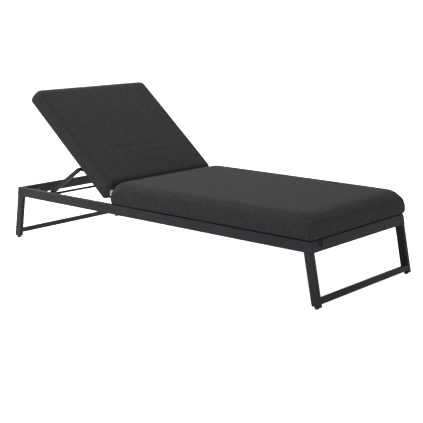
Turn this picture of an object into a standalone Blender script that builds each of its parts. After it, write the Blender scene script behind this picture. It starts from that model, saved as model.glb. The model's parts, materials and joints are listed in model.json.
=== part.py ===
"""Reclining sun lounger: an aluminium frame, a propped back section and two cushions.

The lounger lies along X, with its foot end at +X and its head end at -X, and Z = 0 is the floor.
Left and right are those of a person lying on it face up, so its right side is at -Y.
Everything is in metres and radians.
"""
import math

import bmesh
import bpy

# Base frame
RAIL_LENGTH = 2.000          # over the end rails, along their top edges
FRAME_WIDTH = 0.786          # over the side rails
RAIL_TOP = 0.2955            # top of the rails above the floor
RAIL_HEIGHT = 0.0515
SIDE_RAIL_THICKNESS = 0.0225
END_RAIL_THICKNESS = 0.028
RAIL_EDGE = 0.004            # rounding of the rails' and legs' long edges
LEG_WIDTH = 0.0456           # along X
HEAD_SPLAY = 0.047           # how far a head leg leans out from the rail top to its lower end
FOOT_SPLAY = 0.058
STRETCHER_HEIGHT = 0.026
STRETCHER_THICKNESS = 0.018
STRETCHER_CLEARANCE = 0.023  # under a stretcher
GLIDE_HEIGHT = 0.0105
GLIDE_RADIUS = 0.0105

# Deck under the seat
SEAT_SLATS = 7
SEAT_SLAT_WIDTH = 0.050
SEAT_SLAT_THICKNESS = 0.012
DECK_DROP = 0.002            # slats and centre rail below the rail top
CENTRE_RAIL_FROM_HEAD = 0.800
CENTRE_RAIL_WIDTH = 0.025
CENTRE_RAIL_HEIGHT = 0.036
SLAT_MARGIN = 0.070          # clear length between the deck's end members and the slats beside them

# Recline pivot
HINGE_FROM_HEAD = 0.7143
HINGE_DROP = 0.019           # pivot axis below the rail top
RECLINE_ANGLE = math.radians(40)
PIVOT_BOLT_RADIUS = 0.005
PIVOT_BOLT_DEPTH = 0.0135    # how far the bolt goes into the side rail
PIVOT_HEAD_RADIUS = 0.0075
PIVOT_HEAD_THICKNESS = 0.005
PIVOT_BUSH_RADIUS = 0.0075
LUG_THICKNESS = 0.005
LUG_RADIUS = 0.012
LUG_LENGTH = 0.044

# Back frame
BACK_LENGTH = 0.680          # from the pivot to the upper rail's outer face
BACK_HEEL = 0.012            # stile end beyond the pivot
STILE_WIDTH = 0.030
BACK_TUBE_DEPTH = 0.012
BACK_RAIL_WIDTH = 0.025
LOWER_RAIL_FROM_PIVOT = 0.020
BACK_SLATS = 6
BACK_SLAT_WIDTH = 0.045
BACK_SLAT_THICKNESS = 0.010
SMALL_EDGE = 0.0015
REST_BLOCK_SIZE = (0.026, 0.055, 0.026)
REST_BLOCK_FROM_HEAD = 0.080

# Prop
PROP_ARM_LENGTH = 0.2914     # between the centres of its pivot and its rod
PROP_PIVOT_DROP = 0.0302     # pivot of the prop below the line of the recline pivot
ARM_WIDTH = 0.022
ARM_THICKNESS = 0.012
PROP_BUSH_LENGTH = 0.015     # between an arm and the stile beside it, with its side gaps
ROD_RADIUS = 0.007
PROP_PIN_RADIUS = 0.004
PROP_PIN_HEAD_RADIUS = 0.008
PROP_PIN_HEAD_THICKNESS = 0.0018
PROP_BUSH_RADIUS = 0.007
EAR_THICKNESS = 0.005
EAR_RADIUS = 0.011
EAR_LENGTH = 0.050
NUT_ACROSS_CORNERS = 0.0115
NUT_THICKNESS = 0.006
RACK_THICKNESS = 0.006
RACK_HEIGHT = 0.022
RACK_MARGIN = 0.020
NOTCH_DEPTH = 0.005
NOTCH_PLAY = 0.0008
RECLINE_STOPS = [math.radians(degrees) for degrees in (20, 30, 40, 50, 60)]

# Cushions
SEAT_CUSHION_THICKNESS = 0.118
SEAT_CUSHION_FROM_HEAD = 0.775
SEAT_CUSHION_FOOT_OVERHANG = 0.004
BACK_CUSHION_THICKNESS = 0.094
BACK_CUSHION_LOWER_END = 0.036   # from the pivot, along the back
BACK_CUSHION_LENGTH = 0.716
CUSHION_LIFT = 0.0015            # back cushion above the rail top when the back lies flat
CUSHION_SEAT_GAP = 0.0005        # cushion to what it lies on
SEAT_HEAD_ROUND = 0.064
BACK_LOWER_ROUND = 0.050
CUSHION_ROUND = 0.042
CUSHION_BASE_ROUND = 0.030
CUSHION_SIDE_ROUND = 0.028

# Clearances
WELD_GAP = 0.0003            # between pieces that are welded or seated together
RUNNING_GAP = 0.0003         # radial, around pins and bolts
PIVOT_SIDE_GAP = 0.0003      # along a pivot, between a bush and its neighbours
ROD_CLEARANCE = 0.0005       # rod above the tips of the rack
ARM_TO_RACK = 0.0022         # between an arm and the rack beside it
ROUND_STEPS = 24

# Places that follow
HEAD_X = -(RAIL_LENGTH + FOOT_SPLAY - HEAD_SPLAY) / 2
FOOT_X = HEAD_X + RAIL_LENGTH
HINGE_X = HEAD_X + HINGE_FROM_HEAD
HINGE_Z = RAIL_TOP - HINGE_DROP
RAIL_BOTTOM = RAIL_TOP - RAIL_HEIGHT
HALF_WIDTH = FRAME_WIDTH / 2
INNER_HALF = HALF_WIDTH - SIDE_RAIL_THICKNESS - WELD_GAP
ARM_INSET = SIDE_RAIL_THICKNESS + WELD_GAP + RACK_THICKNESS + ARM_TO_RACK    # from the outer face
BACK_INSET = ARM_INSET + ARM_THICKNESS + PROP_BUSH_LENGTH
CUSHION_LEVEL = HINGE_DROP + CUSHION_LIFT        # back cushion's underside above the pivot
STILE_TOP = CUSHION_LEVEL - CUSHION_SEAT_GAP
STILE_BOTTOM = STILE_TOP - BACK_TUBE_DEPTH
STILE_INNER_HALF = HALF_WIDTH - BACK_INSET - STILE_WIDTH - WELD_GAP
PROP_PIVOT_REACH = math.sqrt(PROP_ARM_LENGTH ** 2 - PROP_PIVOT_DROP ** 2)
PROP_PIVOT_LAG = math.asin(PROP_PIVOT_DROP / PROP_ARM_LENGTH)
SIDES = (("right", -1), ("left", 1))
ENDS = (("head", -1, HEAD_X, HEAD_SPLAY), ("foot", 1, FOOT_X, FOOT_SPLAY))


def clear_scene():
    for existing in list(bpy.data.objects):
        bpy.data.objects.remove(existing)


def new_collection(name):
    collection = bpy.data.collections.new(name)
    bpy.context.scene.collection.children.link(collection)
    return collection


def new_material(name, colour, roughness, metallic=0.0):
    material = bpy.data.materials.new(name)
    material.use_nodes = True
    shader = material.node_tree.nodes["Principled BSDF"]
    shader.inputs["Base Color"].default_value = (*colour, 1.0)
    shader.inputs["Roughness"].default_value = roughness
    shader.inputs["Metallic"].default_value = metallic
    return material


clear_scene()
PARTS = new_collection("sun_lounger")
CUTTERS = new_collection("cutters")
FRAME_PAINT = new_material("frame_paint", (0.055, 0.058, 0.062), 0.48, 0.3)
DARK_PAINT = new_material("dark_paint", (0.022, 0.023, 0.025), 0.45, 0.3)
STEEL = new_material("steel", (0.52, 0.52, 0.53), 0.32, 1.0)
NYLON = new_material("nylon", (0.020, 0.020, 0.021), 0.60)
CUSHION_CLOTH = new_material("cushion_cloth", (0.060, 0.060, 0.064), 0.92)


def add_object(name, mesh, material=None, parent=None, collection=PARTS):
    obj = bpy.data.objects.new(name, mesh)
    collection.objects.link(obj)
    if material:
        mesh.materials.clear()
        mesh.materials.append(material)
    obj.parent = parent
    return obj


def add_bevel(obj, width, segments=2, along=None):
    """Round the sharp edges of a piece, or only those along one of its mesh axes (0, 1 or 2)."""
    bevel = obj.modifiers.new("edge", "BEVEL")
    bevel.width = width
    bevel.segments = segments
    bevel.limit_method = "ANGLE"
    bevel.angle_limit = math.radians(40)
    if along is None:
        return
    bevel.limit_method = "WEIGHT"
    work = bmesh.new()
    work.from_mesh(obj.data)
    weight = work.edges.layers.float.new("bevel_weight_edge")
    for edge in work.edges:
        first, second = (vertex.co for vertex in edge.verts)
        direction = (second - first).normalized()
        sharp = edge.calc_face_angle(0) > bevel.angle_limit
        edge[weight] = 1.0 if sharp and abs(direction[along]) > 0.9 else 0.0
    work.to_mesh(obj.data)
    work.free()


def shade_round(obj):
    obj.data.shade_smooth()
    obj.data.set_sharp_from_angle(angle=math.radians(35))


def box(name, low, high, material, parent=None, edge=SMALL_EDGE, along=None):
    """A box between two corners, given in its parent's frame."""
    work = bmesh.new()
    bmesh.ops.create_cube(work, size=1.0)
    size = [top - bottom for bottom, top in zip(low, high)]
    bmesh.ops.scale(work, vec=size, verts=work.verts)
    mesh = bpy.data.meshes.new(name)
    work.to_mesh(mesh)
    work.free()
    obj = add_object(name, mesh, material, parent)
    obj.location = [(bottom + top) / 2 for bottom, top in zip(low, high)]
    add_bevel(obj, edge, along=along)
    return obj


def plate(name, outline, y_low, y_high, material, parent=None):
    """A flat outline in X and Z, as thick as from y_low to y_high."""
    curve = bpy.data.curves.new(name + "_outline", "CURVE")
    curve.dimensions = "2D"
    curve.fill_mode = "BOTH"
    curve.extrude = (y_high - y_low) / 2
    spline = curve.splines.new("POLY")
    spline.points.add(len(outline) - 1)
    for point, (x, z) in zip(spline.points, outline):
        point.co = (x, z, 0, 1)
    spline.use_cyclic_u = True
    guide = add_object(name + "_outline", curve, collection=CUTTERS)
    bpy.context.view_layer.update()
    evaluated = guide.evaluated_get(bpy.context.evaluated_depsgraph_get())
    mesh = bpy.data.meshes.new_from_object(evaluated)
    mesh.name = name
    work = bmesh.new()
    work.from_mesh(mesh)
    bmesh.ops.remove_doubles(work, verts=work.verts, dist=0.00001)
    work.to_mesh(mesh)
    work.free()
    bpy.data.objects.remove(guide)
    obj = add_object(name, mesh, material, parent)
    obj.location = (0, (y_low + y_high) / 2, 0)
    obj.rotation_euler = (math.radians(90), 0, 0)
    return obj


def rounded(corners, steps=5):
    """An outline whose corners (x, z, radius) are replaced by arcs."""
    points = []
    for index, (x, z, radius) in enumerate(corners):
        before = corners[index - 1]
        after = corners[(index + 1) % len(corners)]
        into = math.atan2(before[1] - z, before[0] - x)
        out = math.atan2(after[1] - z, after[0] - x)
        turn = (out - into + math.pi) % (2 * math.pi) - math.pi
        half = abs(turn) / 2
        middle = into + turn / 2
        reach = radius / math.sin(half)
        centre_x = x + reach * math.cos(middle)
        centre_z = z + reach * math.sin(middle)
        sweep = math.pi - 2 * half
        start = middle + math.pi - math.copysign(sweep / 2, -turn)
        for step in range(steps + 1):
            angle = start + math.copysign(sweep, -turn) * step / steps
            points.append((centre_x + radius * math.cos(angle), centre_z + radius * math.sin(angle)))
    return points


def span(side, near, far):
    """Low and high Y of a piece that lies from near to far inward of a side's outer face."""
    return sorted((side * (HALF_WIDTH - near), side * (HALF_WIDTH - far)))


def cylinder(name, radius, low, high, x, z, material, parent=None, edge=0.0, collection=PARTS):
    """A bar along Y from low to high."""
    work = bmesh.new()
    bmesh.ops.create_cone(
        work, cap_ends=True, segments=ROUND_STEPS, radius1=radius, radius2=radius, depth=high - low
    )
    mesh = bpy.data.meshes.new(name)
    work.to_mesh(mesh)
    work.free()
    obj = add_object(name, mesh, material, parent, collection)
    obj.rotation_euler = (math.radians(-90), 0, 0)
    obj.location = (x, (low + high) / 2, z)
    if edge:
        add_bevel(obj, edge)
    shade_round(obj)
    return obj


def bore(piece, radius, x, z, parent=None, low=-HALF_WIDTH, high=HALF_WIDTH):
    """Cut a round hole along Y through a piece, or part of the way between low and high."""
    cutter = cylinder(
        piece.name + "_bore", radius, low, high, x, z, None, parent, collection=CUTTERS
    )
    cutter.hide_render = True
    cutter.display_type = "WIRE"
    cut = piece.modifiers.new("bore", "BOOLEAN")
    cut.operation = "DIFFERENCE"
    cut.solver = "EXACT"
    cut.object = cutter
    return cutter


def turned(name, profile, material, parent, x, y, z, towards):
    """A piece turned about Y: profile holds (radius, distance), and distance grows towards +Y or -Y."""
    mesh = bpy.data.meshes.new(name)
    points = [(radius, 0, -distance) for radius, distance in profile]
    mesh.from_pydata(points, [(index, index + 1) for index in range(len(points) - 1)], [])
    obj = add_object(name, mesh, material, parent)
    screw = obj.modifiers.new("turn", "SCREW")
    screw.steps = ROUND_STEPS
    screw.render_steps = ROUND_STEPS
    screw.use_merge_vertices = True
    screw.merge_threshold = 0.00001
    screw.use_smooth_shade = True
    obj.rotation_euler = (math.radians(90 * towards), 0, 0)
    obj.location = (x, y, z)
    return obj


def lean(end_splay, height):
    """How far a leaning end has moved out at a height, from nothing at the rail top."""
    return end_splay * (RAIL_TOP - height) / (RAIL_TOP - GLIDE_HEIGHT)


def leaning_strip(end, end_x, splay, low, high, width):
    """Outline of a member that follows the lean of an end, width deep from the outer face."""
    corners = []
    for height, depth in ((low, 0), (high, 0), (high, width), (low, width)):
        corners.append((end_x + end * (lean(splay, height) - depth), height))
    return corners


def build_base_frame():
    for side_name, side in SIDES:
        corners = []
        for height in (RAIL_BOTTOM, RAIL_TOP):
            corners.append((HEAD_X - lean(HEAD_SPLAY, height), height))
        for height in (RAIL_TOP, RAIL_BOTTOM):
            corners.append((FOOT_X + lean(FOOT_SPLAY, height), height))
        y_low, y_high = span(side, 0, SIDE_RAIL_THICKNESS)
        rail = plate("side_rail_" + side_name, corners, y_low, y_high, FRAME_PAINT)
        add_bevel(rail, RAIL_EDGE, 3, along=0)
        bolt_end = HALF_WIDTH - SIDE_RAIL_THICKNESS + PIVOT_BOLT_DEPTH + PIVOT_SIDE_GAP
        hole_low, hole_high = sorted((side * INNER_HALF * 0.9, side * bolt_end))
        bore(rail, PIVOT_BOLT_RADIUS + RUNNING_GAP, HINGE_X, HINGE_Z, None, hole_low, hole_high)
        shade_round(rail)
    for end_name, end, end_x, splay in ENDS:
        outline = leaning_strip(end, end_x, splay, RAIL_BOTTOM, RAIL_TOP, END_RAIL_THICKNESS)
        rail = plate("end_rail_" + end_name, outline, -INNER_HALF, INNER_HALF, FRAME_PAINT)
        add_bevel(rail, RAIL_EDGE, 3, along=2)
        shade_round(rail)
        low = STRETCHER_CLEARANCE
        outline = leaning_strip(end, end_x, splay, low, low + STRETCHER_HEIGHT, STRETCHER_THICKNESS)
        stretcher = plate("stretcher_" + end_name, outline, -INNER_HALF, INNER_HALF, FRAME_PAINT)
        add_bevel(stretcher, SMALL_EDGE, along=2)
        for side_name, side in SIDES:
            build_leg(f"{end_name}_{side_name}", end, end_x, splay, side)
    inner_length = CENTRE_RAIL_FROM_HEAD + HEAD_X
    top = RAIL_TOP - DECK_DROP
    box(
        "centre_rail",
        (inner_length - CENTRE_RAIL_WIDTH / 2, -INNER_HALF, top - CENTRE_RAIL_HEIGHT),
        (inner_length + CENTRE_RAIL_WIDTH / 2, INNER_HALF, top),
        FRAME_PAINT,
    )
    first = inner_length + CENTRE_RAIL_WIDTH / 2 + SLAT_MARGIN + SEAT_SLAT_WIDTH / 2
    last = FOOT_X - END_RAIL_THICKNESS - SLAT_MARGIN - SEAT_SLAT_WIDTH / 2
    for index in range(SEAT_SLATS):
        x = first + (last - first) * index / (SEAT_SLATS - 1)
        box(
            f"seat_slat_{index + 1}",
            (x - SEAT_SLAT_WIDTH / 2, -INNER_HALF, top - SEAT_SLAT_THICKNESS),
            (x + SEAT_SLAT_WIDTH / 2, INNER_HALF, top),
            FRAME_PAINT,
        )


def build_leg(name, end, end_x, splay, side):
    """A leaning leg welded under the end of a side rail, on a round glide."""
    outline = leaning_strip(end, end_x, splay, GLIDE_HEIGHT, RAIL_BOTTOM - WELD_GAP, LEG_WIDTH)
    y_low, y_high = span(side, 0, SIDE_RAIL_THICKNESS)
    leg = plate("leg_" + name, outline, y_low, y_high, FRAME_PAINT)
    add_bevel(leg, RAIL_EDGE, 3, along=1)
    shade_round(leg)
    glide_x = end_x + end * (splay - LEG_WIDTH / 2)
    chamfer = 0.0015
    profile = [
        (0, 0),
        (GLIDE_RADIUS, 0),
        (GLIDE_RADIUS, GLIDE_HEIGHT - WELD_GAP - chamfer),
        (GLIDE_RADIUS - chamfer, GLIDE_HEIGHT - WELD_GAP),
        (0, GLIDE_HEIGHT - WELD_GAP),
    ]
    glide = turned("glide_" + name, profile, NYLON, None, glide_x, (y_low + y_high) / 2, 0, 1)
    glide.rotation_euler = (0, 0, 0)
    glide.location.z = GLIDE_HEIGHT - WELD_GAP


def build_racks():
    """Notched racks inside the side rails, which the prop's rod drops into."""
    tips = HINGE_Z - ROD_RADIUS - ROD_CLEARANCE
    notch_radius = ROD_RADIUS + NOTCH_PLAY
    centre_above = notch_radius - NOTCH_DEPTH
    open_angle = math.asin(centre_above / notch_radius)
    stops = [HINGE_X - 2 * PROP_ARM_LENGTH * math.cos(a - PROP_PIVOT_LAG) for a in RECLINE_STOPS]
    flat_rod = HINGE_X - 2 * PROP_ARM_LENGTH * math.cos(PROP_PIVOT_LAG)
    low_x = flat_rod - RACK_MARGIN
    high_x = stops[-1] + RACK_MARGIN
    outline = [(low_x, tips), (low_x, tips - RACK_HEIGHT), (high_x, tips - RACK_HEIGHT), (high_x, tips)]
    steps = 6
    for x in reversed(stops):
        for step in range(steps + 1):
            angle = -open_angle - (math.pi - 2 * open_angle) * step / steps
            outline.append(
                (x + notch_radius * math.cos(angle), tips + centre_above + notch_radius * math.sin(angle))
            )
    for side_name, side in SIDES:
        near = SIDE_RAIL_THICKNESS + WELD_GAP
        y_low, y_high = span(side, near, near + RACK_THICKNESS)
        plate("rack_" + side_name, outline, y_low, y_high, DARK_PAINT)


def build_pivots(recline):
    """Bolts and bushes that carry the back, and the lugs under its stiles that turn on them."""
    lug_near = BACK_INSET + (STILE_WIDTH - LUG_THICKNESS) / 2
    lug_far = lug_near + LUG_THICKNESS
    head_near = lug_far + PIVOT_SIDE_GAP
    for side_name, side in SIDES:
        top = STILE_BOTTOM - WELD_GAP
        corners = [
            (BACK_HEEL, top, 0.0005),
            (BACK_HEEL, -LUG_RADIUS, LUG_RADIUS * 0.99),
            (-LUG_RADIUS, -LUG_RADIUS, LUG_RADIUS * 0.99),
            (BACK_HEEL - LUG_LENGTH, top, 0.0005),
        ]
        y_low, y_high = span(side, lug_near, lug_far)
        lug = plate("hinge_lug_" + side_name, rounded(corners), y_low, y_high, FRAME_PAINT, recline)
        bore(lug, PIVOT_BOLT_RADIUS + RUNNING_GAP, 0, 0, recline)
        shaft_end = head_near - SIDE_RAIL_THICKNESS + PIVOT_BOLT_DEPTH
        profile = [
            (0, -PIVOT_HEAD_THICKNESS),
            (PIVOT_HEAD_RADIUS * 0.9, -PIVOT_HEAD_THICKNESS),
            (PIVOT_HEAD_RADIUS, -PIVOT_HEAD_THICKNESS * 0.8),
            (PIVOT_HEAD_RADIUS, 0),
            (PIVOT_BOLT_RADIUS, 0),
            (PIVOT_BOLT_RADIUS, shaft_end),
            (0, shaft_end),
        ]
        y = side * (HALF_WIDTH - head_near)
        turned("pivot_bolt_" + side_name, profile, STEEL, None, HINGE_X, y, HINGE_Z, side)
        near = SIDE_RAIL_THICKNESS + PIVOT_SIDE_GAP
        y_low, y_high = span(side, near, lug_near - PIVOT_SIDE_GAP)
        bush = cylinder(
            "pivot_bush_" + side_name, PIVOT_BUSH_RADIUS, y_low, y_high, HINGE_X, HINGE_Z, NYLON
        )
        bore(bush, PIVOT_BOLT_RADIUS + RUNNING_GAP, HINGE_X, HINGE_Z)


def build_back(recline):
    """The back frame, in a frame on the pivot whose -X runs up the back and +Z out of its front."""
    for side_name, side in SIDES:
        y_low, y_high = span(side, BACK_INSET, BACK_INSET + STILE_WIDTH)
        box(
            "back_stile_" + side_name,
            (-BACK_LENGTH, y_low, STILE_BOTTOM),
            (BACK_HEEL, y_high, STILE_TOP),
            FRAME_PAINT,
            recline,
        )
    rails = (("upper", BACK_LENGTH - BACK_RAIL_WIDTH), ("lower", LOWER_RAIL_FROM_PIVOT))
    for rail_name, start in rails:
        box(
            "back_rail_" + rail_name,
            (-start - BACK_RAIL_WIDTH, -STILE_INNER_HALF, STILE_BOTTOM),
            (-start, STILE_INNER_HALF, STILE_TOP),
            FRAME_PAINT,
            recline,
        )
    low = LOWER_RAIL_FROM_PIVOT + BACK_RAIL_WIDTH
    high = BACK_LENGTH - BACK_RAIL_WIDTH
    pitch = (high - low) / (BACK_SLATS + 1)
    for index in range(BACK_SLATS):
        middle = low + pitch * (index + 1)
        box(
            f"back_slat_{index + 1}",
            (-middle - BACK_SLAT_WIDTH / 2, -STILE_INNER_HALF, STILE_TOP - BACK_SLAT_THICKNESS),
            (-middle + BACK_SLAT_WIDTH / 2, STILE_INNER_HALF, STILE_TOP),
            FRAME_PAINT,
            recline,
        )
    block_x = HEAD_X + REST_BLOCK_FROM_HEAD
    block_top = HINGE_Z + STILE_BOTTOM - CUSHION_SEAT_GAP
    near = SIDE_RAIL_THICKNESS + WELD_GAP
    for side_name, side in SIDES:
        y_low, y_high = span(side, near, near + REST_BLOCK_SIZE[1])
        box(
            "back_rest_block_" + side_name,
            (block_x, y_low, block_top - REST_BLOCK_SIZE[2]),
            (block_x + REST_BLOCK_SIZE[0], y_high, block_top),
            NYLON,
        )


def build_prop(recline):
    """The prop: two arms on pins under the stiles, joined by a rod that lies over the racks."""
    prop = bpy.data.objects.new("prop_axis", None)
    PARTS.objects.link(prop)
    prop.parent = recline
    prop.location = (-PROP_PIVOT_REACH, 0, -PROP_PIVOT_DROP)
    prop.rotation_euler = (0, -2 * RECLINE_ANGLE + PROP_PIVOT_LAG, 0)
    arm_end = ARM_INSET + ARM_THICKNESS
    ear_far = BACK_INSET + EAR_THICKNESS
    half = ARM_WIDTH / 2
    for side_name, side in SIDES:
        corners = [
            (half, half, half * 0.99),
            (-PROP_ARM_LENGTH - half, half, half * 0.99),
            (-PROP_ARM_LENGTH - half, -half, half * 0.99),
            (half, -half, half * 0.99),
        ]
        y_low, y_high = span(side, ARM_INSET, arm_end)
        arm = plate("prop_arm_" + side_name, rounded(corners, 6), y_low, y_high, FRAME_PAINT, prop)
        bore(arm, PROP_PIN_RADIUS + RUNNING_GAP, 0, 0, prop)
        bore(arm, ROD_RADIUS + RUNNING_GAP, -PROP_ARM_LENGTH, 0, prop)
        build_ear(side_name, side, recline, ear_far)
        y = side * (HALF_WIDTH - ARM_INSET + PIVOT_SIDE_GAP)
        length = ear_far + PIVOT_SIDE_GAP + NUT_THICKNESS - ARM_INSET + PIVOT_SIDE_GAP
        profile = [
            (0, -PROP_PIN_HEAD_THICKNESS),
            (PROP_PIN_HEAD_RADIUS, -PROP_PIN_HEAD_THICKNESS),
            (PROP_PIN_HEAD_RADIUS, 0),
            (PROP_PIN_RADIUS, 0),
            (PROP_PIN_RADIUS, length),
            (0, length),
        ]
        pivot = (-PROP_PIVOT_REACH, -PROP_PIVOT_DROP)
        turned("prop_pin_" + side_name, profile, STEEL, recline, pivot[0], y, pivot[1], -side)
        y_low, y_high = span(side, arm_end + PIVOT_SIDE_GAP, BACK_INSET - PIVOT_SIDE_GAP)
        bush = cylinder(
            "prop_bush_" + side_name, PROP_BUSH_RADIUS, y_low, y_high, *pivot, NYLON, recline
        )
        bore(bush, PROP_PIN_RADIUS + RUNNING_GAP, *pivot, recline)
        near = ear_far + PIVOT_SIDE_GAP
        y_low, y_high = span(side, near, near + NUT_THICKNESS)
        nut = cylinder("prop_nut_" + side_name, NUT_ACROSS_CORNERS / 2, y_low, y_high, *pivot, STEEL, recline)
        make_hexagonal(nut, y_high - y_low)
        bore(nut, PROP_PIN_RADIUS + RUNNING_GAP, *pivot, recline)
    rod_half = HALF_WIDTH - SIDE_RAIL_THICKNESS - WELD_GAP - ROD_CLEARANCE
    cylinder("prop_rod", ROD_RADIUS, -rod_half, rod_half, -PROP_ARM_LENGTH, 0, DARK_PAINT, prop, 0.001)


def build_ear(side_name, side, recline, ear_far):
    """A small plate under a stile that carries the prop's pin."""
    top = STILE_BOTTOM - WELD_GAP
    corners = [
        (-PROP_PIVOT_REACH + EAR_LENGTH / 2, top, 0.0005),
        (-PROP_PIVOT_REACH + EAR_RADIUS, -PROP_PIVOT_DROP - EAR_RADIUS, EAR_RADIUS * 0.8),
        (-PROP_PIVOT_REACH - EAR_RADIUS, -PROP_PIVOT_DROP - EAR_RADIUS, EAR_RADIUS * 0.8),
        (-PROP_PIVOT_REACH - EAR_LENGTH / 2, top, 0.0005),
    ]
    y_low, y_high = span(side, BACK_INSET, ear_far)
    ear = plate("prop_ear_" + side_name, rounded(corners), y_low, y_high, FRAME_PAINT, recline)
    bore(ear, PROP_PIN_RADIUS + RUNNING_GAP, -PROP_PIVOT_REACH, -PROP_PIVOT_DROP, recline)


def make_hexagonal(obj, depth):
    work = bmesh.new()
    radius = NUT_ACROSS_CORNERS / 2
    bmesh.ops.create_cone(
        work, cap_ends=True, segments=6, radius1=radius, radius2=radius, depth=depth
    )
    work.to_mesh(obj.data)
    work.free()


def build_cushions(recline):
    """Both cushions as plain padded blocks."""
    low = RAIL_TOP + CUSHION_SEAT_GAP
    high = low + SEAT_CUSHION_THICKNESS
    head = HEAD_X + SEAT_CUSHION_FROM_HEAD
    foot = FOOT_X + SEAT_CUSHION_FOOT_OVERHANG
    corners = [
        (head, low, CUSHION_BASE_ROUND),
        (foot, low, CUSHION_BASE_ROUND),
        (foot, high, CUSHION_ROUND),
        (head, high, SEAT_HEAD_ROUND),
    ]
    seat = plate("seat_cushion", rounded(corners), -HALF_WIDTH, HALF_WIDTH, CUSHION_CLOTH)
    add_bevel(seat, CUSHION_SIDE_ROUND, 3)
    low = CUSHION_LEVEL
    high = low + BACK_CUSHION_THICKNESS
    lower = -BACK_CUSHION_LOWER_END
    upper = lower - BACK_CUSHION_LENGTH
    corners = [
        (upper, low, CUSHION_BASE_ROUND),
        (lower, low, CUSHION_BASE_ROUND),
        (lower, high, BACK_LOWER_ROUND),
        (upper, high, CUSHION_ROUND),
    ]
    back = plate("back_cushion", rounded(corners), -HALF_WIDTH, HALF_WIDTH, CUSHION_CLOTH, recline)
    add_bevel(back, CUSHION_SIDE_ROUND, 3)


recline_axis = bpy.data.objects.new("recline_axis", None)
PARTS.objects.link(recline_axis)
recline_axis.location = (HINGE_X, 0, HINGE_Z)
recline_axis.rotation_euler = (0, RECLINE_ANGLE, 0)
build_base_frame()
build_racks()
build_pivots(recline_axis)
build_back(recline_axis)
build_prop(recline_axis)
build_cushions(recline_axis)
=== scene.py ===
"""Reclining sun lounger: finishes, welds, cushions and trim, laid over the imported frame.

Everything is in metres. The lounger lies along X with its foot end at +X, and Z = 0 is the floor.
"""

import json
import math

import bpy
import numpy as np
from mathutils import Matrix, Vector
from mathutils.geometry import convex_hull_2d


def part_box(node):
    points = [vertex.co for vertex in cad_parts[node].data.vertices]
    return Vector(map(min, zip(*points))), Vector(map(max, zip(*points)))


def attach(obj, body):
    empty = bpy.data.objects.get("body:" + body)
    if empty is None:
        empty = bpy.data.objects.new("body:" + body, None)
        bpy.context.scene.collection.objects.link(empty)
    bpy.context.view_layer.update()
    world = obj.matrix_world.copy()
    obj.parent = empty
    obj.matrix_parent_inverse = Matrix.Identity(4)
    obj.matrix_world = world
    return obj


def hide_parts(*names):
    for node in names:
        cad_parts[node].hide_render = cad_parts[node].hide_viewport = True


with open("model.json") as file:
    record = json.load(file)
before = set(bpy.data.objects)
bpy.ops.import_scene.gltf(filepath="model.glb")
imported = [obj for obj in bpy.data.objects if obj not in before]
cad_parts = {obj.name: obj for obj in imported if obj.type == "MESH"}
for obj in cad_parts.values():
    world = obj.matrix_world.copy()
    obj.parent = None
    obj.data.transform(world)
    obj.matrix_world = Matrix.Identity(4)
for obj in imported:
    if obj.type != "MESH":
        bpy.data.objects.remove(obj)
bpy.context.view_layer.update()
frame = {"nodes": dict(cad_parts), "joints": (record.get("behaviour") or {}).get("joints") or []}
nodes = frame["nodes"]

# ---------------------------------------------------------------------------------------------
# Studio. A pale floor that runs far back under an even white surround, one large soft light above
# the head end and a weak one low beyond the foot. Seen straight on, floor and surround are lit
# until they are one white; the lounger gets less light from them, so its shaded faces stay dark.


def brighter_when_seen(tree, strength, unseen, seen):
    """Set a strength to one value for the light it throws, and to another where it is in view."""
    choice = tree.nodes.new("ShaderNodeMapRange")
    choice.inputs["To Min"].default_value = unseen
    choice.inputs["To Max"].default_value = seen
    view = tree.nodes.new("ShaderNodeLightPath")
    tree.links.new(view.outputs["Is Camera Ray"], choice.inputs["Value"])
    tree.links.new(choice.outputs["Result"], strength)


floor_half = 160.0
floor_mesh = bpy.data.meshes.new("studio_floor")
floor_corners = floor_half * np.array([(-1, -1, 0), (1, -1, 0), (1, 1, 0), (-1, 1, 0)], float)
floor_mesh.from_pydata(floor_corners.tolist(), [], [(0, 1, 2, 3)])
floor = bpy.data.objects.new("studio_floor", floor_mesh)
bpy.context.scene.collection.objects.link(floor)
floor_material = bpy.data.materials.new("pale_floor")
floor_material.use_nodes = True
floor_shader = floor_material.node_tree.nodes["Principled BSDF"]
floor_shader.inputs["Base Color"].default_value = (0.90, 0.90, 0.90, 1)
floor_shader.inputs["Roughness"].default_value = 0.9
floor_shader.inputs["Specular IOR Level"].default_value = 0.0
floor_shader.inputs["Emission Color"].default_value = (1, 1, 1, 1)
floor_strength = floor_shader.inputs["Emission Strength"]
brighter_when_seen(floor_material.node_tree, floor_strength, unseen=0.0, seen=0.95)
floor_mesh.materials.append(floor_material)

world = bpy.data.worlds.new("studio_surround")
world.use_nodes = True
surround = world.node_tree.nodes["Background"]
surround.inputs["Color"].default_value = (1, 1, 1, 1)
brighter_when_seen(world.node_tree, surround.inputs["Strength"], unseen=0.55, seen=1.05)
bpy.context.scene.world = world
bpy.context.scene.view_settings.view_transform = "Standard"


def soft_light(name, place, aim, size, power):
    """A square area light at place that faces aim."""
    lamp = bpy.data.lights.new(name, "AREA")
    lamp.shape = "SQUARE"
    lamp.size = size
    lamp.energy = power
    stand = bpy.data.objects.new(name, lamp)
    stand.location = place
    stand.rotation_euler = (Vector(aim) - Vector(place)).to_track_quat("-Z", "Y").to_euler()
    bpy.context.scene.collection.objects.link(stand)


soft_light("key_light", (-3.4, -0.6, 4.4), (0, 0, 0.4), 3.0, 343)
soft_light("foot_fill", (5.6, -0.4, 1.5), (0.6, 0, 0.3), 2.4, 14)

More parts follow.
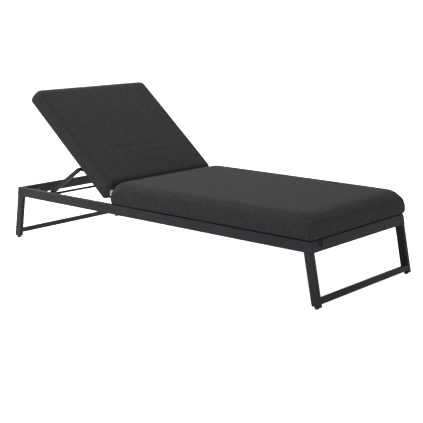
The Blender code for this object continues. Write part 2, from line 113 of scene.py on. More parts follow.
camera_data = bpy.data.cameras.new("camera")
camera_data.sensor_width = 36.0
camera_data.lens = 83.80
camera = bpy.data.objects.new("camera", camera_data)
camera.location = (3.3775, -3.7852, 1.3058)
camera_aim = Vector((0.0903, 0.0, 0.2433))
camera.rotation_euler = (camera_aim - camera.location).to_track_quat("-Z", "Y").to_euler()
bpy.context.scene.collection.objects.link(camera)
bpy.context.scene.camera = camera

# ---------------------------------------------------------------------------------------------
# Frame. Rectangular aluminium tube, cut, welded and powder coated in a fine-textured charcoal.
# The coat is sprayed dry and baked, which leaves a faint pebbled skin over every face.


def link(tree, source, target):
    """Join one node's output to another's input."""
    tree.links.new(source, target)


def make_pebble_group():
    """Node group. Height = 0.7 x fine noise + 0.3 x coarse noise on object coordinates, and
    Tone = broad noise, for slow changes of shade and gloss over a coated surface."""
    tree = bpy.data.node_groups.new("powder_pebble", "ShaderNodeTree")
    tree.interface.new_socket("Grain Size", in_out="INPUT", socket_type="NodeSocketFloat")
    tree.interface.new_socket("Height", in_out="OUTPUT", socket_type="NodeSocketFloat")
    tree.interface.new_socket("Tone", in_out="OUTPUT", socket_type="NodeSocketFloat")
    start = tree.nodes.new("NodeGroupInput")
    end = tree.nodes.new("NodeGroupOutput")
    place = tree.nodes.new("ShaderNodeTexCoord")
    per_metre = tree.nodes.new("ShaderNodeMath")
    per_metre.operation = "DIVIDE"
    per_metre.inputs[0].default_value = 1.0
    link(tree, start.outputs["Grain Size"], per_metre.inputs[1])
    fine = tree.nodes.new("ShaderNodeTexNoise")
    fine.inputs["Detail"].default_value = 2.0
    link(tree, place.outputs["Object"], fine.inputs["Vector"])
    link(tree, per_metre.outputs[0], fine.inputs["Scale"])
    coarse_scale = tree.nodes.new("ShaderNodeMath")
    coarse_scale.operation = "MULTIPLY"
    coarse_scale.inputs[1].default_value = 0.25
    link(tree, per_metre.outputs[0], coarse_scale.inputs[0])
    coarse = tree.nodes.new("ShaderNodeTexNoise")
    coarse.inputs["Detail"].default_value = 1.0
    link(tree, place.outputs["Object"], coarse.inputs["Vector"])
    link(tree, coarse_scale.outputs[0], coarse.inputs["Scale"])
    height = tree.nodes.new("ShaderNodeMix")
    height.data_type = "FLOAT"
    height.inputs["Factor"].default_value = 0.3
    link(tree, fine.outputs["Fac"], height.inputs["A"])
    link(tree, coarse.outputs["Fac"], height.inputs["B"])
    link(tree, height.outputs["Result"], end.inputs["Height"])
    broad = tree.nodes.new("ShaderNodeTexNoise")
    broad.inputs["Scale"].default_value = 7.0
    broad.inputs["Detail"].default_value = 4.0
    link(tree, place.outputs["Object"], broad.inputs["Vector"])
    link(tree, broad.outputs["Fac"], end.inputs["Tone"])
    return tree


pebble_group = make_pebble_group()


def mix_colours(tree, factor, first, second):
    """Colour between first and second, by factor."""
    blend = tree.nodes.new("ShaderNodeMix")
    blend.data_type = "RGBA"
    blend.inputs["A"].default_value = (*first, 1)
    blend.inputs["B"].default_value = (*second, 1)
    link(tree, factor, blend.inputs["Factor"])
    return blend.outputs["Result"]


def span_value(tree, value, low, high):
    """A value of 0.3 to 0.7 spread over low to high."""
    stretch = tree.nodes.new("ShaderNodeMapRange")
    stretch.inputs["From Min"].default_value = 0.3
    stretch.inputs["From Max"].default_value = 0.7
    stretch.inputs["To Min"].default_value = low
    stretch.inputs["To Max"].default_value = high
    link(tree, value, stretch.inputs["Value"])
    return stretch.outputs["Result"]


def bump(tree, height, distance, strength=1.0, below=None):
    """Normal of a height that is distance metres tall at 1."""
    relief = tree.nodes.new("ShaderNodeBump")
    relief.inputs["Strength"].default_value = strength
    relief.inputs["Distance"].default_value = distance
    link(tree, height, relief.inputs["Height"])
    if below:
        link(tree, below, relief.inputs["Normal"])
    return relief.outputs["Normal"]


gloss_spread = 0.05          # how far the roughness of a coat strays to either side


def coated(name, dark, light, roughness, grain_size, grain_height):
    """A powder coat: two close shades that change slowly, and a pebbled skin."""
    material = bpy.data.materials.new(name)
    material.use_nodes = True
    tree = material.node_tree
    shader = tree.nodes["Principled BSDF"]
    pebble = tree.nodes.new("ShaderNodeGroup")
    pebble.node_tree = pebble_group
    pebble.inputs["Grain Size"].default_value = grain_size
    tone = span_value(tree, pebble.outputs["Tone"], 0.0, 1.0)
    link(tree, mix_colours(tree, tone, dark, light), shader.inputs["Base Color"])
    shader.inputs["Specular IOR Level"].default_value = 0.28
    gloss = span_value(tree, pebble.outputs["Tone"], roughness + gloss_spread, roughness - gloss_spread)
    link(tree, gloss, shader.inputs["Roughness"])
    link(tree, bump(tree, pebble.outputs["Height"], grain_height), shader.inputs["Normal"])
    return material


def repaint(material, *starts):
    """Give a material to every CAD node whose name begins with one of the starts."""
    for name, node in nodes.items():
        if name.startswith(starts):
            node.data.materials.clear()
            node.data.materials.append(material)


coat_dark = (0.0078, 0.0100, 0.0135)
coat_light = (0.0112, 0.0141, 0.0180)
charcoal_coat = coated("charcoal_coat", coat_dark, coat_light, 0.46, 0.0009, 0.00006)
repaint(
    charcoal_coat,
    "side_rail", "end_rail", "leg_", "stretcher", "centre_rail", "seat_slat",
    "back_stile", "back_rail", "back_slat", "hinge_lug", "prop_ear", "prop_arm",
)

# ---------------------------------------------------------------------------------------------
# Welds. Each tube is joined to the next by a run of filler metal round its end, laid down a pool
# at a time, dressed low and coated with the frame.
weld_radius = 0.0012
weld_inset = 0.0006          # middle of a run inside the outline of the tube's end
weld_pool = 0.0026           # from one pool to the next
weld_ripple = 0.10           # how much a pool stands out, as a share of the radius
steps_per_pool = 3
end_face_depth = 0.0002      # points this close to a node's furthest reach make up its end face


def mesh_piece(name, points, quads, material, uvs=None):
    """A smooth-shaded mesh from arrays of points and quads."""
    mesh = bpy.data.meshes.new(name)
    mesh.from_pydata(points.tolist(), [], quads.tolist())
    if uvs is not None:
        layer = mesh.uv_layers.new(name="cloth")
        layer.data.foreach_set("uv", uvs.reshape(-1).astype(np.float32))
    mesh.shade_smooth()
    mesh.materials.append(material)
    piece = bpy.data.objects.new(name, mesh)
    bpy.context.scene.collection.objects.link(piece)
    return piece


def end_outline(name, axis, side):
    """Points round the flat end of a CAD node, in order: the outermost of the points that are
    within end_face_depth of its furthest reach along the axis."""
    node = nodes[name]
    flat = np.empty(len(node.data.vertices) * 3, np.float32)
    node.data.vertices.foreach_get("co", flat)
    turn = np.array(node.matrix_world)
    points = flat.reshape(-1, 3) @ turn[:3, :3].T + turn[:3, 3]
    reach = side * points[:, axis]
    face = points[reach > reach.max() - end_face_depth]
    across, up = [other for other in range(3) if other != axis]
    order = convex_hull_2d([Vector((point[across], point[up])) for point in face])
    outline = face[order]
    outline[:, axis] = side * reach.max()
    return outline


def even_steps(loop, step):
    """A closed line of points laid out again at even steps."""
    closed = np.vstack([loop, loop[:1]])
    length = np.concatenate([[0], np.cumsum(np.linalg.norm(np.diff(closed, axis=0), axis=1))])
    at = np.linspace(0, length[-1], max(int(length[-1] / step), 12), endpoint=False)
    return np.stack([np.interp(at, length, closed[:, axis]) for axis in range(3)], -1)


def unit(vectors):
    """Vectors v as v / |v|."""
    return vectors / np.maximum(np.linalg.norm(vectors, axis=-1, keepdims=True), 1e-12)


def sweep(line, normals, section, closed, scale=None):
    """Points, quads and cloth coordinates of a section carried along a line.

    A section point (a, b) is placed at line + a * side + b * normal, times the scale of its
    station, with side = tangent x normal. An open sweep is closed at each end by a flat cap.
    """
    stations, around = len(line), len(section)
    if closed:
        tangent = unit(np.roll(line, -1, 0) - np.roll(line, 1, 0))
    else:
        tangent = unit(np.gradient(line, axis=0))
    normals = unit(normals - (normals * tangent).sum(-1, keepdims=True) * tangent)
    side = np.cross(tangent, normals)
    scale = np.ones(stations) if scale is None else scale
    offset = side[:, None] * section[None, :, :1] + normals[:, None] * section[None, :, 1:]
    points = (line[:, None] + offset * scale[:, None, None]).reshape(-1, 3)
    rows = stations if closed else stations - 1
    i, j = [grid.ravel() for grid in np.meshgrid(np.arange(rows), np.arange(around), indexing="ij")]
    corners = np.stack([np.stack([i, i + 1, i + 1, i], -1), np.stack([j, j, j + 1, j + 1], -1)], -1)
    quads = corners[..., 0] % stations * around + corners[..., 1] % around
    steps = np.linalg.norm(np.roll(line, -1, 0) - line, axis=1)
    length = np.concatenate([[0], np.cumsum(steps)])
    girth = np.concatenate([[0], np.cumsum(np.linalg.norm(np.roll(section, -1, 0) - section, axis=1))])
    uvs = np.stack([length[corners[..., 0]], girth[corners[..., 1]]], -1)
    if not closed:
        k = np.arange(around // 2 - 1)
        cap = np.stack([k, k + 1, around - 2 - k, around - 1 - k], -1)
        far = cap[:, ::-1] + (stations - 1) * around
        quads = np.concatenate([quads, cap, far])
        uvs = np.concatenate([uvs, section[cap], section[far - (stations - 1) * around]])
    return points, quads, uvs


def angles_round(count):
    """Angles t round a section in even steps, starting half a step past t = 0."""
    return (np.arange(count) + 0.5) * 2 * math.pi / count


def round_section(radius, around=8):
    """Section of a rod: (radius * cos t, radius * sin t)."""
    t = angles_round(around)
    return np.stack([radius * np.cos(t), radius * np.sin(t)], -1)


def joined(parts):
    """Several (points, quads, cloth coordinates) put together as one."""
    starts = np.cumsum([0] + [len(points) for points, _, _ in parts[:-1]])
    return (
        np.concatenate([points for points, _, _ in parts]),
        np.concatenate([quads + start for start, (_, quads, _) in zip(starts, parts)]),
        np.concatenate([uvs for _, _, uvs in parts]),
    )


def weld_runs(ends):
    """Runs of weld round the ends of CAD nodes, from (name, axis, side). The radius of a run at
    step k is weld_radius * (1 + weld_ripple * cos(2 pi k / steps_per_pool))."""
    parts = []
    for name, axis, side in ends:
        outline = end_outline(name, axis, side)
        away = outline - outline.mean(0)
        line = even_steps(outline - unit(away) * weld_inset, weld_pool / steps_per_pool)
        normals = np.zeros_like(line)
        normals[:, axis] = side
        pools = 1 + weld_ripple * np.cos(2 * math.pi * np.arange(len(line)) / steps_per_pool)
        parts.append(sweep(line, normals, round_section(weld_radius), True, pools))
    return joined(parts)


def ends_across(*starts):
    """Both ends along Y of every CAD node whose name begins with one of the starts."""
    return [(name, 1, side) for name in sorted(nodes) if name.startswith(starts) for side in (-1, 1)]


base_ends = ends_across("end_rail", "stretcher", "centre_rail", "seat_slat")
base_ends += [(name, 2, 1) for name in sorted(nodes) if name.startswith("leg_")]
base_welds = mesh_piece("base_frame_welds", *weld_runs(base_ends)[:2], charcoal_coat)
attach(base_welds, "base_frame")
back_ends = ends_across("back_rail", "back_slat")
back_welds = mesh_piece("back_frame_welds", *weld_runs(back_ends)[:2], charcoal_coat)
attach(back_welds, "back")

# ---------------------------------------------------------------------------------------------
# Glides and rest blocks. Injection-moulded black nylon: the glides are pressed into the tube
# ends and stand on the floor, the blocks are screwed inside the rails for the back to lie on.
nylon_dark = (0.008, 0.008, 0.008)
nylon_light = (0.012, 0.012, 0.013)
black_nylon = coated("black_nylon", nylon_dark, nylon_light, 0.55, 0.0006, 0.00003)
repaint(black_nylon, "glide_", "back_rest_block", "pivot_bush", "prop_bush")

# ---------------------------------------------------------------------------------------------
# Racks, rod and prop pins. Notched steel strips inside the side rails, the round rod that drops
# into them, and the pins the prop swings on, all coated black before they are put together. The
# coat is also made darker than the frame's as painted shade, for the shadow under the back cushion.
# Painted shade: these colours sit below the frame's coat partly to stand in for the shadow on the rod
# and pins.
black_and_shade_dark = (0.006, 0.006, 0.007)
black_and_shade_light = (0.010, 0.010, 0.011)
black_and_shade_coat = coated("black_and_shade_coat", black_and_shade_dark, black_and_shade_light, 0.42, 0.0008, 0.00004)
repaint(black_and_shade_coat, "rack_", "prop_rod", "prop_pin", "prop_nut")

# ---------------------------------------------------------------------------------------------
# Pivot bolts. Bright stainless steel with a worn, slightly uneven gloss: one on each side holds
# the back to the side rail.
bright_steel = bpy.data.materials.new("bright_steel")
bright_steel.use_nodes = True
steel_tree = bright_steel.node_tree
steel_shader = steel_tree.nodes["Principled BSDF"]
steel_shader.inputs["Metallic"].default_value = 1.0
steel_pebble = steel_tree.nodes.new("ShaderNodeGroup")
steel_pebble.node_tree = pebble_group
steel_pebble.inputs["Grain Size"].default_value = 0.0004
steel_tone = span_value(steel_tree, steel_pebble.outputs["Tone"], 0.0, 1.0)
steel_colour = mix_colours(steel_tree, steel_tone, (0.46, 0.46, 0.47), (0.56, 0.56, 0.57))
link(steel_tree, steel_colour, steel_shader.inputs["Base Color"])
steel_gloss = span_value(steel_tree, steel_pebble.outputs["Height"], 0.24, 0.38)
link(steel_tree, steel_gloss, steel_shader.inputs["Roughness"])
repaint(bright_steel, "pivot_bolt")

# ---------------------------------------------------------------------------------------------
# Seat cushion. A foam block in a sewn cover of charcoal outdoor cloth: a top panel, a strip
# round the sides and a bottom panel, joined by a plain seam along the upper and lower edges.
lattice_step = 0.012
panel_gap = 3.0              # keeps the panels of cloth apart in cloth coordinates
seam_sink = 0.0018           # how far a seam draws the cloth in
seam_width = 0.0034
seam_height = 0.0011
seam_around = 16             # points round the section
seam_groove = 0.6            # depth of the groove, as a share of the height
seam_groove_spread = 0.5     # half width of the groove, in radians round the section
seat_low, seat_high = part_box("seat_cushion")
seat_head_bulge = 0.019      # the soft head end stands out past the CAD block
seat_crown = 0.006           # middle of the top above its edges
seat_end_bulge = 0.011
seat_side_bulge = 0.004
belly_power = 0.66
end_zone = 0.25              # length over which the rounding of the sides changes to the ends'
filling = {"pressure": 4.0, "spare_cloth": 0.004, "hold": 0.30, "most": 0.012}    # for swell
weave_height = 0.00025
slub_height = 0.0006


def eased(t):
    """A share t from 0 to 1 as t^2 * (3 - 2 t), which is slow at both ends."""
    return t * t * (3 - 2 * t)


def lattice_block(low, high, low_edge, side_edge, end_edge, end_reach):
    """Points, quads, cloth coordinates and edge rings of a box with rounded edges.

    A lattice q covers the six sides. Each q is split into the nearest point c of an inner box and
    an offset d = (q - c) / r, and the offset is rounded by the cube-to-sphere rule, in which each
    d1 becomes d1 * sqrt(1 - d2^2 / 2 - d3^2 / 2 + d2^2 * d3^2 / 3). The radius r goes from
    low_edge at the bottom to side_edge along the top of the sides and end_edge at the ends,
    where the rounding reaches end_reach along the cushion.
    """
    low = np.array(low)
    high = np.array(high)
    counts = np.maximum(np.round((high - low) / lattice_step).astype(int), 4)
    stride = counts + 1
    corner_codes, corner_uvs = [], []
    for axis in range(3):
        first, second = [other for other in range(3) if other != axis]
        i, j = np.meshgrid(np.arange(counts[first]), np.arange(counts[second]), indexing="ij")
        for end in (0, 1):
            around = ((0, 0), (1, 0), (1, 1), (0, 1))
            turn = end if axis != 1 else 1 - end
            around = around if turn else around[::-1]
            corners = np.zeros((i.size, 4, 3), int)
            for place, (di, dj) in enumerate(around):
                corners[:, place, first] = (i + di).ravel()
                corners[:, place, second] = (j + dj).ravel()
                corners[:, place, axis] = end * counts[axis]
            q = low + (high - low) * corners / counts
            down = high[2] - q[..., 2]
            out = 1 if end else -1
            if axis == 2:
                uv = np.stack([q[..., 0] + (0 if end else panel_gap), q[..., 1]], -1)
            elif axis == 1:
                uv = np.stack([q[..., 0], q[..., 1] + out * down], -1)
            else:
                uv = np.stack([q[..., 1] + 2 * panel_gap, q[..., 0] + out * down], -1)
            corner_codes.append((corners * (1, stride[0], stride[0] * stride[1])).sum(-1))
            corner_uvs.append(uv)
    codes, quads = np.unique(np.concatenate(corner_codes), return_inverse=True)
    quads = quads.reshape(-1, 4)
    index = np.stack(
        [codes % stride[0], codes // stride[0] % stride[1], codes // (stride[0] * stride[1])], -1
    )
    q = low + (high - low) * index / counts
    rise = (q[:, 2] - low[2]) / (high[2] - low[2])
    upper = rise > 0.5
    soft = eased(rise)
    to_end = np.minimum(q[:, 0] - low[0], high[0] - q[:, 0])
    near_end = eased(np.clip(1 - to_end / end_zone, 0, 1))
    radius = np.empty_like(q)
    radius[:, 0] = low_edge + (end_reach - low_edge) * soft
    radius[:, 1] = low_edge + (side_edge - low_edge) * soft
    radius[:, 2] = np.where(upper, side_edge + (end_edge - side_edge) * near_end, low_edge)
    inner = np.clip(q, low + radius, high - radius)
    d = (q - inner) / radius
    s = d * d
    rounded = np.stack(
        [
            d[:, a] * np.sqrt(1 - s[:, b] / 2 - s[:, c] / 2 + s[:, b] * s[:, c] / 3)
            for a, b, c in ((0, 1, 2), (1, 2, 0), (2, 0, 1))
        ],
        -1,
    )
    points = inner + radius * rounded
    along_x = np.arange(counts[0])
    along_y = np.arange(counts[1])
    ring = np.concatenate(
        [
            np.stack([along_x, np.zeros_like(along_x)], -1),
            np.stack([np.full_like(along_y, counts[0]), along_y], -1),
            np.stack([counts[0] - along_x, np.full_like(along_x, counts[1])], -1),
            np.stack([np.zeros_like(along_y), counts[1] - along_y], -1),
        ]
    )
    rings = []
    for level in (0, counts[2]):
        ring_codes = ring[:, 0] + ring[:, 1] * stride[0] + level * stride[0] * stride[1]
        rings.append(np.searchsorted(codes, ring_codes))
    return points, quads, np.concatenate(corner_uvs), rings


def fill_out(points, low, high, crown, end_bulge, side_bulge):
    """Give a block the lines of a filled cushion, with u and v from -1 to 1 along X and Y.

    Each point rises by crown * (1 - |u|^3) * (1 - |v|^3) * h. Each end moves out by
    end_bulge * sin(pi * h^belly_power) * |u|^6 and each side by side_bulge * the same * |v|^6,
    where h is the height from 0 to 1, so a face stands out most at about a third of its height.
    """
    low = np.array(low)
    high = np.array(high)
    u, v = ((2 * points - low - high) / (high - low)).clip(-1, 1)[:, :2].T
    h = ((points[:, 2] - low[2]) / (high[2] - low[2])).clip(0, 1)
    belly = np.sin(math.pi * h ** belly_power)
    points[:, 0] += end_bulge * belly * np.sign(u) * np.abs(u) ** 6
    points[:, 1] += side_bulge * belly * np.sign(v) * np.abs(v) ** 6
    points[:, 2] += crown * (1 - np.abs(u) ** 3) * (1 - np.abs(v) ** 3) * h
    return points


def read_points(mesh):
    """The places of a mesh's points, as an array."""
    flat = np.empty(len(mesh.vertices) * 3, np.float32)
    mesh.vertices.foreach_get("co", flat)
    return flat.reshape(-1, 3).astype(float)


def write_points(mesh, points):
    """Put a mesh's points at the places in an array."""
    mesh.vertices.foreach_set("co", points.astype(np.float32).ravel())
    mesh.update()


def read_normals(mesh):
    """The normals at a mesh's points, as an array."""
    flat = np.empty(len(mesh.vertices) * 3, np.float32)
    mesh.vertices.foreach_get("normal", flat)
    return flat.reshape(-1, 3).astype(float)


def swell(piece, pressure, spare_cloth, hold, most, frames=20):
    """Inflate a cushion as cloth with pressure inside. The foam holds each point near its place,
    with a pull of hold from 0 to 1, and a move of length d becomes most * tanh(d / most)."""
    before = read_points(piece.data)
    cloth = piece.modifiers.new("filling", "CLOTH")
    settings = cloth.settings
    settings.quality = 6
    settings.mass = 0.25
    settings.tension_stiffness = 18
    settings.compression_stiffness = 18
    settings.shear_stiffness = 8
    settings.bending_stiffness = 0.6
    foam = piece.vertex_groups.new(name="foam")
    foam.add(list(range(len(piece.data.vertices))), hold, "REPLACE")
    settings.vertex_group_mass = "foam"
    settings.use_pressure = True
    settings.uniform_pressure_force = pressure
    settings.shrink_min = -spare_cloth
    settings.effector_weights.gravity = 0.0
    cloth.collision_settings.use_collision = False
    cloth.point_cache.frame_start = 1
    cloth.point_cache.frame_end = frames
    scene = bpy.context.scene
    for number in range(1, frames + 1):
        scene.frame_set(number)
    evaluated = piece.evaluated_get(bpy.context.evaluated_depsgraph_get())
    after = read_points(evaluated.data)
    piece.modifiers.remove(cloth)
    piece.vertex_groups.remove(foam)
    scene.frame_set(1)
    move = after - before
    length = np.linalg.norm(move, axis=1, keepdims=True)
    share = np.tanh(length / most) * most / np.maximum(length, 1e-9)
    write_points(piece.data, before + move * share)


def subdivide(piece):
    """Replace a piece's mesh by its once-subdivided surface. Its first points stay the old ones."""
    smooth = piece.modifiers.new("smooth", "SUBSURF")
    smooth.levels = 1
    smooth.render_levels = 1
    evaluated = piece.evaluated_get(bpy.context.evaluated_depsgraph_get())
    mesh = bpy.data.meshes.new_from_object(evaluated)
    piece.modifiers.remove(smooth)
    piece.data = mesh
    mesh.shade_smooth()


def draw_in(points, normals, rings):
    """Sink the points of each seam's ring along their normals, by seam_sink."""
    for ring in rings:
        points[ring] -= normals[ring] * seam_sink
    return points


def smooth_loop(points, parts):
    """Closed Catmull-Rom curve through points, with that many parts from each to the next."""
    before, after, last = np.roll(points, 1, 0), np.roll(points, -1, 0), np.roll(points, -2, 0)
    t = (np.arange(parts) / parts)[None, :, None]
    curve = points[:, None] + (after - before)[:, None] / 2 * t
    curve = curve + (before - 2.5 * points + 2 * after - 0.5 * last)[:, None] * t ** 2
    curve = curve + (1.5 * (points - after) + 0.5 * (last - before))[:, None] * t ** 3
    return curve.reshape(-1, 3)


def seam_folds(name, cushion, rings, body):
    """The pressed edges of a plain seam: two low lips of cloth with a groove between them, along
    each ring of a cushion. A section point is (w / 2 * cos t, h * sin t * groove), with
    groove = 1 - seam_groove * exp(-((t - pi / 2) / seam_groove_spread)^2)."""
    t = angles_round(seam_around)
    groove = 1 - seam_groove * np.exp(-(((t - math.pi / 2) / seam_groove_spread) ** 2))
    section = np.stack([seam_width / 2 * np.cos(t), seam_height * np.sin(t) * groove], -1)
    points, normals = read_points(cushion.data), read_normals(cushion.data)
    parts = [
        sweep(smooth_loop(points[ring], 4), smooth_loop(normals[ring], 4), section, True)
        for ring in rings
    ]
    fold_points, fold_quads, fold_uvs = joined(parts)
    folds = mesh_piece(name, fold_points, fold_quads, cushion_cloth, fold_uvs)
    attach(folds, body)


def make_cloth_group():
    """Node group on cloth coordinates in metres. Weave = sin(2 pi u / p) * sin(2 pi v / p), a plain
    weave of thread pitch p. Heather = 0.5 * a + 0.5 * b, with noise a drawn out along one way of
    the threads and b along the other, for threads of uneven colour. Cloud = 0.65 * a + 0.35 * b of
    broader noise, for streaks over many threads."""
    tree = bpy.data.node_groups.new("heather_cloth", "ShaderNodeTree")
    tree.interface.new_socket("Pitch", in_out="INPUT", socket_type="NodeSocketFloat")
    for output in ("Weave", "Heather", "Cloud"):
        tree.interface.new_socket(output, in_out="OUTPUT", socket_type="NodeSocketFloat")
    start = tree.nodes.new("NodeGroupInput")
    end = tree.nodes.new("NodeGroupOutput")
    place = tree.nodes.new("ShaderNodeUVMap")
    place.uv_map = "cloth"
    split = tree.nodes.new("ShaderNodeSeparateXYZ")
    link(tree, place.outputs["UV"], split.inputs["Vector"])
    turns = tree.nodes.new("ShaderNodeMath")
    turns.operation = "DIVIDE"
    turns.inputs[0].default_value = 2 * math.pi
    link(tree, start.outputs["Pitch"], turns.inputs[1])
    waves = []
    for axis in ("X", "Y"):
        angle = tree.nodes.new("ShaderNodeMath")
        angle.operation = "MULTIPLY"
        link(tree, split.outputs[axis], angle.inputs[0])
        link(tree, turns.outputs[0], angle.inputs[1])
        wave = tree.nodes.new("ShaderNodeMath")
        wave.operation = "SINE"
        link(tree, angle.outputs[0], wave.inputs[0])
        waves.append(wave.outputs[0])
    weave = tree.nodes.new("ShaderNodeMath")
    weave.operation = "MULTIPLY"
    link(tree, waves[0], weave.inputs[0])
    link(tree, waves[1], weave.inputs[1])
    link(tree, weave.outputs[0], end.inputs["Weave"])
    streaks = {}
    for layer, (along, across) in (("thread", (60.0, 700.0)), ("cloud", (22.0, 90.0))):
        for turned, scale in ((False, (across, along, 1)), (True, (along, across, 1))):
            stretch = tree.nodes.new("ShaderNodeMapping")
            stretch.inputs["Scale"].default_value = scale
            link(tree, place.outputs["UV"], stretch.inputs["Vector"])
            noise = tree.nodes.new("ShaderNodeTexNoise")
            noise.inputs["Scale"].default_value = 1.0
            noise.inputs["Detail"].default_value = 2.0
            link(tree, stretch.outputs["Vector"], noise.inputs["Vector"])
            streaks[layer, turned] = noise.outputs["Fac"]
    for layer, output, weft_share in (("thread", "Heather", 0.5), ("cloud", "Cloud", 0.35)):
        both = tree.nodes.new("ShaderNodeMix")
        both.data_type = "FLOAT"
        both.inputs["Factor"].default_value = weft_share
        link(tree, streaks[layer, False], both.inputs["A"])
        link(tree, streaks[layer, True], both.inputs["B"])
        link(tree, both.outputs["Result"], end.inputs[output])
    return tree


cloth_group = make_cloth_group()
weave_pitch = 0.0018
cloud_low, cloud_high = 0.80, 1.20       # shade of the cloth's streaks


def woven(name, dark, light, pitch, sheen):
    """Cloth or tape in a plain weave of dark and lighter threads, with a matt bloom."""
    material = bpy.data.materials.new(name)
    material.use_nodes = True
    tree = material.node_tree
    shader = tree.nodes["Principled BSDF"]
    cloth = tree.nodes.new("ShaderNodeGroup")
    cloth.node_tree = cloth_group
    cloth.inputs["Pitch"].default_value = pitch
    thread = span_value(tree, cloth.outputs["Heather"], 0.0, 1.0)
    yarn = mix_colours(tree, thread, dark, light)
    cloud = span_value(tree, cloth.outputs["Cloud"], cloud_low, cloud_high)
    shade = tree.nodes.new("ShaderNodeVectorMath")
    shade.operation = "SCALE"
    link(tree, yarn, shade.inputs[0])
    link(tree, cloud, shade.inputs["Scale"])
    link(tree, shade.outputs["Vector"], shader.inputs["Base Color"])
    shader.inputs["Roughness"].default_value = 0.95
    shader.inputs["Specular IOR Level"].default_value = 0.05
    shader.inputs["Sheen Weight"].default_value = sheen
    shader.inputs["Sheen Roughness"].default_value = 0.5
    weave_normal = bump(tree, cloth.outputs["Weave"], weave_height, 0.7)
    slub_normal = bump(tree, cloth.outputs["Cloud"], slub_height, 0.4, weave_normal)
    link(tree, slub_normal, shader.inputs["Normal"])
    return material


cloth_dark = (0.026, 0.0258, 0.0282)
cloth_light = (0.0515, 0.051, 0.0548)
cushion_cloth = woven("cushion_cloth", cloth_dark, cloth_light, weave_pitch, 0.03)

seat_box_low = (seat_low.x - seat_head_bulge, seat_low.y, seat_low.z)
seat_box_high = (seat_high.x, seat_high.y, seat_high.z)
seat_points, seat_quads, seat_uvs, seat_rings = lattice_block(
    seat_box_low, seat_box_high, low_edge=0.010, side_edge=0.042, end_edge=0.054, end_reach=0.082
)
seat_points = fill_out(
    seat_points, seat_box_low, seat_box_high, seat_crown, seat_end_bulge, seat_side_bulge
)
seat_cushion = mesh_piece("seat_cushion_cover", seat_points, seat_quads, cushion_cloth, seat_uvs)
swell(seat_cushion, **filling)
seat_normals = read_normals(seat_cushion.data)
seat_points = draw_in(read_points(seat_cushion.data), seat_normals, seat_rings)
seat_points[:, 2] = np.maximum(seat_points[:, 2], seat_low.z)
write_points(seat_cushion.data, seat_points)
subdivide(seat_cushion)
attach(seat_cushion, "base_frame")
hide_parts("seat_cushion")
seam_folds("seat_cushion_seams", seat_cushion, seat_rings, "base_frame")

# ---------------------------------------------------------------------------------------------
# Care label. A blank loop of pale woven tape, folded double and caught in the seat cover at its
# near head corner. It stands out flat and curls a little to the side.
label_tape = woven("label_tape", (0.42, 0.40, 0.27), (0.66, 0.64, 0.48), 0.0007, 0.05)
label_width = 0.031
label_fold = 0.0012          # radius of the fold, half the gap between the two layers
label_root = np.array([-0.237, -0.3815, 0.3545])
label_reach = 0.027
label_curl = 0.12            # how far the tape curls to the side, as a share of its reach
label_droop = 0.002
label_leg = 0.42             # share of the tape's way that each of its straight legs takes
tape_thickness = 0.0005


def flat_tape(width, thickness, around=24):
    """Section of a tape: (w / 2 * |cos t|^0.2, h / 2 * |sin t|^0.5), each with the sign of its wave,
    for width w and thickness h."""
    t = angles_round(around)
    across = width / 2 * np.sign(np.cos(t)) * np.abs(np.cos(t)) ** 0.2
    through = thickness / 2 * np.sign(np.sin(t)) * np.abs(np.sin(t)) ** 0.5
    return np.stack([across, through], -1)


way = np.linspace(0, 1, 33)[:, None]
straight = np.clip(way / label_leg, 0, 1) + np.clip((1 - way) / label_leg, 0, 1) - 1
turned = np.clip((way - label_leg) / (1 - 2 * label_leg), 0, 1) * math.pi
label_line = label_root + np.concatenate(
    [
        -label_reach * straight - label_fold * np.sin(turned),
        -label_fold * np.cos(turned) - label_curl * label_reach * straight ** 2,
        -label_droop * straight,
    ],
    1,
)
label_heading = unit(np.gradient(label_line, axis=0))
label_normals = np.cross(label_heading, np.array([0.0, 0.0, 1.0]))
label_parts = sweep(label_line, label_normals, flat_tape(label_width, tape_thickness), False)
label = mesh_piece("care_label", *label_parts[:2], label_tape, label_parts[2])
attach(label, "base_frame")

# ---------------------------------------------------------------------------------------------
# Pull tab. A short end of black webbing sewn into the seat cover's lower foot edge. It hangs over
# the end rail, and serves to draw the cushion straight or to open the cover.
webbing_dark = (0.007, 0.007, 0.008)
webbing_light = (0.018, 0.018, 0.020)
tab_cloth = woven("black_webbing", webbing_dark, webbing_light, 0.0011, 0.02)
tab_width = 0.011
webbing_thickness = 0.0012
tab_side = -0.323            # place of its middle along Y
tab_sway = 0.001
tab_bends = np.array(        # X and Z of its bends, from the seam to the free end
    [(0.990, 0.3000), (0.9975, 0.2985), (1.0035, 0.2945), (1.0056, 0.2870), (1.0060, 0.2660)]
)
tab_way = np.linspace(0, 1, 41)
tab_at = np.array([0, 0.14, 0.27, 0.42, 1])      # where the bends come along its way
tab_smoothings = 6
tab_line = np.stack(
    [
        np.interp(tab_way, tab_at, tab_bends[:, 0]),
        tab_side + tab_sway * np.sin(3 * tab_way),
        np.interp(tab_way, tab_at, tab_bends[:, 1]),
    ],
    -1,
)
for _ in range(tab_smoothings):
    tab_line[1:-1] = (tab_line[:-2] + 2 * tab_line[1:-1] + tab_line[2:]) / 4
tab_heading = unit(np.gradient(tab_line, axis=0))
tab_normals = np.cross(np.array([0.0, 1.0, 0.0]), tab_heading)
tab_parts = sweep(tab_line, tab_normals, flat_tape(tab_width, webbing_thickness), False)
pull_tab = mesh_piece("seat_pull_tab", *tab_parts[:2], tab_cloth, tab_parts[2])
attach(pull_tab, "base_frame")

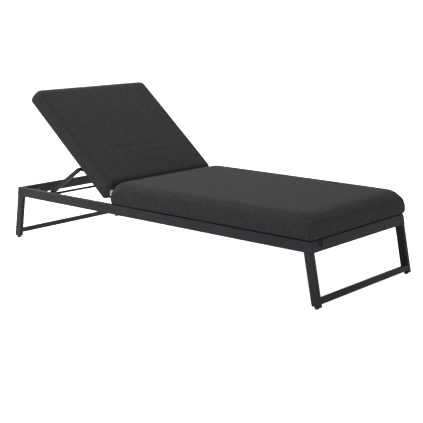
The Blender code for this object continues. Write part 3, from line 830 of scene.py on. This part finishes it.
# ---------------------------------------------------------------------------------------------
# Back cushion. A thinner block in the same cover, which lies on the back's slats. It is shaped
# lying flat over the pivot, and then turned up with the back about the pivot.
recline_joint = next(joint for joint in frame["joints"] if joint["name"] == "back_recline")
pivot = np.array(recline_joint["pos_m"])
recline = -math.radians(recline_joint["range_deg"][0])
back_thickness = 0.094
back_start = 0.036           # lower end from the pivot, along the back
back_length = 0.716
back_level = 0.0205          # underside above the pivot when the back is flat
back_crown = 0.006
back_end_bulge = 0.010
back_side_bulge = 0.002
back_overhang = 0.010        # how far the soft block stands past the back's upper end,
back_spread = 0.003          # past its sides
back_plump = 0.008           # and past its thickness
crease_depth = 0.0013
crease_width = 0.009
crease_fade = 0.10           # length over which a crease dies away at each end


def raise_back(points):
    """Turn points given about the pivot, with the back flat, to the resting recline angle."""
    x = points[:, 0] * math.cos(recline) + points[:, 2] * math.sin(recline)
    z = -points[:, 0] * math.sin(recline) + points[:, 2] * math.cos(recline)
    return np.stack([x, points[:, 1], z], -1) + pivot


def crease(points, normals, along, left, right, depth):
    """Sink a soft fold across the upper face. At x off the fold's line it is depth *
    exp(-(x / crease_width)^2) deep, fading out at left and right, and the line wanders by 6 mm."""
    y = points[:, 1]
    line = along + 0.004 * np.sin(9.0 * y + 40 * along) + 0.002 * np.sin(23.0 * y + 17 * along)
    fade = np.clip((y - left) / crease_fade, 0, 1) * np.clip((right - y) / crease_fade, 0, 1)
    fade = eased(fade) * np.clip(normals[:, 2], 0, 1)
    dip = depth * np.exp(-(((points[:, 0] - line) / crease_width) ** 2)) * fade
    return points - normals * dip[:, None]


back_box_low = (-back_start - back_length - back_overhang, seat_low.y - back_spread, back_level)
back_box_high = (-back_start, seat_high.y + back_spread, back_level + back_thickness + back_plump)
back_points, back_quads, back_uvs, back_rings = lattice_block(
    back_box_low, back_box_high, low_edge=0.008, side_edge=0.026, end_edge=0.036, end_reach=0.040
)
back_points = fill_out(
    back_points, back_box_low, back_box_high, back_crown, back_end_bulge, back_side_bulge
)
back_cushion = mesh_piece("back_cushion_cover", back_points, back_quads, cushion_cloth, back_uvs)
swell(back_cushion, **filling)
back_normals = read_normals(back_cushion.data)
back_points = draw_in(read_points(back_cushion.data), back_normals, back_rings)
for along, left, right, share in (
    (-0.150, -0.34, 0.10, 0.8),
    (-0.205, -0.10, 0.36, 1.0),
    (-0.270, -0.37, 0.24, 0.9),
    (-0.345, -0.22, 0.37, 0.7),
    (-0.440, -0.36, 0.05, 0.6),
):
    back_points = crease(back_points, back_normals, along, left, right, share * crease_depth)
back_points[:, 2] = np.maximum(back_points[:, 2], back_level)
write_points(back_cushion.data, raise_back(back_points))
subdivide(back_cushion)
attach(back_cushion, "back")
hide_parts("back_cushion")
seam_folds("back_cushion_seams", back_cushion, back_rings, "back")
